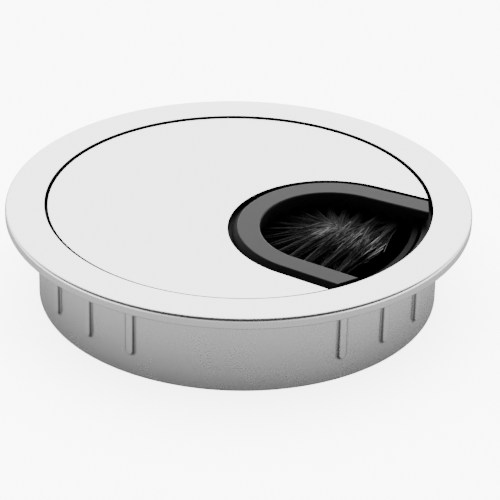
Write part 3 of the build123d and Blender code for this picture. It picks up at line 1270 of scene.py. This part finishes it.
@dataclass
class Studio:
    """A pale floor, a soft sky that is bright behind the object, and the camera."""

    kinds: tuple[Floor, ...] = (
        Floor("floor", lift=0.0, grey=0.40, shine=5.0, seen=True),
        Floor("floor_in_reflections", lift=0.02, grey=0.058, shine=0.06, seen=False),
    )
    floor_size: float = 6.0
    floor_cloud: float = 180.0
    floor_depth: float = 0.97
    card_radius: float = 38.6
    card_lift: float = 0.05
    card_sides: int = 96
    elevation: float = 27.96
    distance: float = 520.5
    lens: float = 190.0
    roll: float = 1.337
    aim: tuple[float, float, float] = (2.4, 0.0, 8.6)
    middle_height: float = 19.18
    sensor: float = 36.0
    floors: list[bpy.types.Object] = field(default_factory=list)
    glow_axis: tuple[float, float, float] = (0.0, 0.91, 0.42)
    glow_inner: float = 0.88
    glow_outer: float = 0.52
    glow: float = 6.2
    horizon: float = 1.6
    side_horizon: float = 5.0
    side_from: float = 0.2
    side_to: float = 0.9
    band_from: float = 0.2
    band_to: float = 0.5
    shade: float = 0.05
    view: float = 8.5
    lamp_at: tuple[float, float, float] = (0.0, 0.2, 1.5)
    lamp_size: float = 2.5
    lamp_power: float = 420.0

    def floor(self) -> None:
        """A wide pale floor under the object, and its darker double for reflections."""
        half = self.floor_size / 2
        corners = np.array([(-half, -half, 0), (half, -half, 0), (half, half, 0), (-half, half, 0)]) / MM
        for kind in self.kinds:
            lifted = corners + np.array([0.0, 0.0, kind.lift])
            made = to_object(kind.name, lifted, np.array([[0, 1, 2, 3]]))
            shader = Shader(kind.name + "_paint")
            cloud = shader.noise(self.floor_cloud, 2.0)
            deep = kind.grey * self.floor_depth
            shader.set("Base Color", shader.tint(cloud, (deep,) * 3, (kind.grey,) * 3))
            shader.set("Roughness", 0.85)
            shader.set("Emission Color", (1.0, 1.0, 1.0, 1.0))
            shader.set("Emission Strength", kind.shine)
            dress(made, shader.material)
            made.visible_camera = kind.seen
            made.visible_diffuse = kind.seen
            made.visible_shadow = kind.seen
            made.visible_glossy = not kind.seen
            self.floors.append(made)

    def card(self) -> None:
        """A black disc on the floor inside the barrel, a painted shade so that the outlet reads as a
        dark hole.
        """
        spin = np.linspace(0, 2 * np.pi, self.card_sides, endpoint=False)
        rim = np.stack([np.cos(spin), np.sin(spin), np.zeros_like(spin)], axis=1) * self.card_radius
        rim = rim + np.array([0.0, 0.0, self.card_lift])
        made = to_object("painted_shade_disc", rim, np.empty((0, 4), int), [list(range(self.card_sides))])
        shader = Shader("painted_shade_paper")
        shader.set("Base Color", shader.tint(shader.noise(2.0, 2.0), (0.004,) * 3, (0.008,) * 3))
        shader.set("Roughness", 0.9)
        shader.set("Specular IOR Level", 0.05)
        dress(made, shader.material)

    def sky(self) -> None:
        """A sky with a glow behind the object and a dimmer band all round the horizon.

        The glow falls off with the cosine of the angle from its middle, and the band with height.
        What the camera sees of the sky directly is one even pale tone.
        """
        world = bpy.data.worlds.new("studio_sky")
        bpy.context.scene.world = world
        world.use_nodes = True
        tree = world.node_tree
        tree.nodes.clear()

        def add(kind: str, settings: dict[str, Any], values: dict[Any, Any]) -> bpy.types.Node:
            """Adds a node.

            Args:
                kind: The node's type.
                settings: The node's own settings.
                values: What each input gets; a socket is linked.

            Returns:
                The node.
            """
            made = tree.nodes.new(kind)
            for key, value in settings.items():
                setattr(made, key, value)
            for key, value in values.items():
                if isinstance(value, bpy.types.NodeSocket):
                    tree.links.new(value, made.inputs[key])
                else:
                    made.inputs[key].default_value = value
            return made

        place = tree.nodes.new("ShaderNodeTexCoord").outputs["Generated"]
        axis = Vector(self.glow_axis).normalized()
        facing = add("ShaderNodeVectorMath", {"operation": "DOT_PRODUCT"}, {0: place, 1: axis})
        parts = add("ShaderNodeSeparateXYZ", {}, {0: place})
        across = parts.outputs[0]
        sideways = add("ShaderNodeMath", {"operation": "MULTIPLY"}, {0: across, 1: across})
        low = add("ShaderNodeMapRange", {}, {
            "Value": sideways.outputs[0], "From Min": self.side_from, "From Max": self.side_to,
            "To Min": self.horizon, "To Max": self.side_horizon,
        })
        smooth = {"interpolation_type": "SMOOTHSTEP"}
        glow = add("ShaderNodeMapRange", smooth, {
            "Value": facing.outputs["Value"], "From Min": self.glow_outer, "From Max": self.glow_inner,
            "To Min": self.shade, "To Max": self.glow,
        })
        band = add("ShaderNodeMapRange", smooth, {
            "Value": parts.outputs[2], "From Min": self.band_from, "From Max": self.band_to,
            "To Min": low.outputs[0], "To Max": self.shade,
        })
        most = add("ShaderNodeMath", {"operation": "MAXIMUM"}, {0: glow.outputs[0], 1: band.outputs[0]})
        seen = tree.nodes.new("ShaderNodeLightPath").outputs["Is Camera Ray"]
        pick = add("ShaderNodeMix", {}, {"Factor": seen, "A": most.outputs[0], "B": self.view})
        back = add("ShaderNodeBackground", {}, {"Strength": pick.outputs["Result"]})
        add("ShaderNodeOutputWorld", {}, {"Surface": back.outputs[0]})

    def lamp(self, name: str, at: tuple[float, float, float], size: float, power: float) -> None:
        """A square soft lamp that faces the object and lights only the floor.

        Args:
            name: The lamp's name.
            at: Its place, in metres.
            size: Its side, in metres.
            power: Its power, in watts.
        """
        light = bpy.data.lights.new(name, "AREA")
        light.size = size
        light.energy = power
        made = bpy.data.objects.new(name, light)
        made.location = at
        made.rotation_euler = (-Vector(at)).to_track_quat("-Z", "Y").to_euler()
        made.visible_glossy = False
        lit = bpy.data.collections.new("lit_floor")
        for floor in self.floors:
            lit.objects.link(floor)
        made.light_linking.receiver_collection = lit
        bpy.context.scene.collection.objects.link(made)

    def camera(self) -> None:
        """The camera at its place, aimed at the object and rolled a little."""
        lens = bpy.data.cameras.new("camera")
        lens.lens = self.lens
        lens.sensor_width = self.sensor
        lens.clip_start = 0.02
        lens.clip_end = 50.0
        made = bpy.data.objects.new("camera", lens)
        tilt = math.radians(self.elevation)
        middle = Vector((0.0, 0.0, self.middle_height))
        at = middle + Vector((0.0, -math.cos(tilt), math.sin(tilt))) * self.distance
        aim = Vector(self.aim)
        turned = (aim - at).to_track_quat("-Z", "Y").to_matrix().to_4x4()
        rolled = Matrix.Rotation(math.radians(self.roll), 4, "Z")
        made.matrix_world = Matrix.Translation(at * MM) @ turned @ rolled
        bpy.context.scene.collection.objects.link(made)
        bpy.context.scene.camera = made

    def build(self) -> None:
        """Sets up the whole studio."""
        self.floor()
        self.card()
        self.sky()
        self.camera()
        self.lamp("overhead", self.lamp_at, self.lamp_size, self.lamp_power)


# ---- everything together -------------------------------------------------------------------------


def report(piece: bpy.types.Object) -> None:
    """Reads a piece's points, in millimetres; nothing is logged.

    Args:
        piece: The piece.
    """
    points = np.empty(len(piece.data.vertices) * 3, np.float32)
    piece.data.vertices.foreach_get("co", points)
    points = points.reshape(-1, 3) / MM


def main() -> None:
    """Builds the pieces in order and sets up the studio."""
    logging.basicConfig(level=logging.INFO, format="%(message)s")
    metal = PlatedMetal().material()
    wire = DrawnWire().material()
    nylon = NylonFilament().material()
    black = MouldedPlastic(
        "black_satin_plastic",
        pale=(0.015, 0.015, 0.0155),
        deep=(0.006, 0.006, 0.0065),
        roughness=0.4,
        gloss=0.10,
    ).material()
    matt = MouldedPlastic(
        "black_matt_plastic", pale=(0.004,) * 3, deep=(0.002,) * 3, roughness=0.6, gloss=0.06
    ).material()
    glide = MouldedPlastic(
        "black_acetal", pale=(0.008,) * 3, deep=(0.005,) * 3, roughness=0.5, gloss=0.08
    ).material()
    # Near-black painted shade for the lid's recess, the lid's edges in the gaps, and the insert's flanks
    # and well.
    recess = MouldedPlastic(
        "painted_shade_black", pale=(0.006,) * 3, deep=(0.003,) * 3, roughness=0.6, gloss=0.05
    ).material()

    pieces = [Sleeve().build(metal, recess)]
    pieces.append(Lid().build(metal, recess))
    pieces.append(InsertFrame().build(black, recess))
    pieces += BristleField().build(nylon)
    hidden = (
        ("glide_ring", "swivel", Slot.GLIDE, glide),
        ("retainer_plate", "lid", Slot.FRAME, black),
        ("brush_strip", "lid", Slot.STRIP, matt),
    )
    for node, body, slot, material in hidden:
        piece = smooth_copy(node + "_moulding", node)
        dress(piece, material)
        pieces.append(stand_for(piece, body, slot, node))
    dress(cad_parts["tuft_anchors"], wire)
    pieces.append(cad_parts["tuft_anchors"])
    for piece in pieces:
        report(piece)
    Studio().build()


if __name__ == "__main__":
    main()
